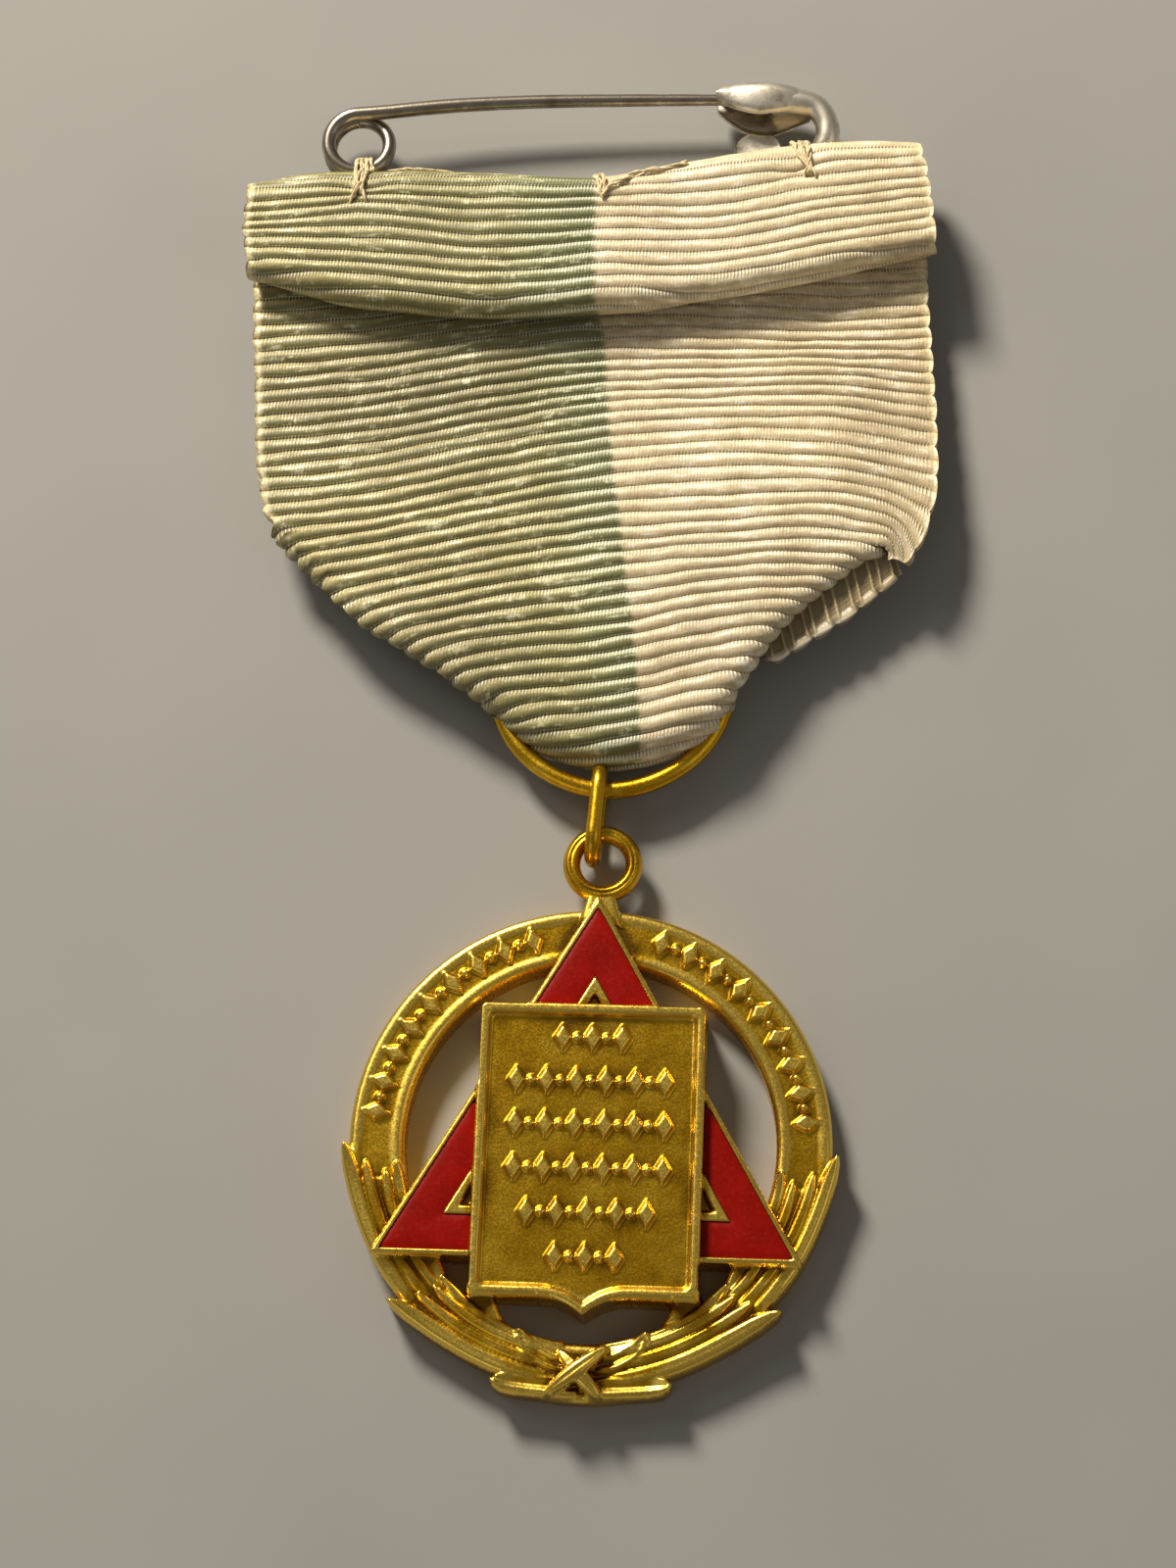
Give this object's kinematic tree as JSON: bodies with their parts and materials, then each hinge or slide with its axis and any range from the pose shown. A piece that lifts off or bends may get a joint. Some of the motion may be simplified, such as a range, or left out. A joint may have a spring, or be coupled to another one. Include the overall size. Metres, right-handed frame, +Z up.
{
  "type": "lodge medal",
  "caption": "Pierced gilt medal with red enamel triangle, raised tablet and wreath, hung by a link and ring from a folded grosgrain ribbon sewn to a safety pin.",
  "frame": {"origin": "middle of the whole outline on the surface that the medal lies on", "axes": "+X to the right of the face, +Y from the badge towards the pin, +Z up off the surface, out of the face"},
  "size_m": [0.0356, 0.0694, 0.0044],
  "materials": {
    "ribbon_cloth": "ribbed grosgrain, faded sage green on the left half and cream on the right half",
    "gilt": "satin gilding over cast brass, darker in the recesses",
    "red_enamel": "deep red enamel with a slight grain, filled almost flush with its borders",
    "pin_steel": "worn nickel-plated steel, slightly brownish"
  },
  "bodies": {
    "root": {"ribbon": "ribbon_cloth", "ribbon_ring": "gilt", "jump_link": "gilt", "medal_body": "gilt", "enamel_top": "red_enamel", "enamel_left": "red_enamel", "enamel_right": "red_enamel", "pin_back_arm": "pin_steel", "pin_cap": "pin_steel"},
    "arm": {"pin_arm": "pin_steel"}
  },
  "joints": [
    {"name": "pin_arm_press", "type": "hinge", "parent": "root", "child": "arm", "pos_m": [-0.01233, 0.03175, 0.0019], "axis": [0, 0, 1], "range_deg": [-7, 0], "stiffness_Nm_per_rad": 0.002, "springref_deg": 1.15}
  ]
}
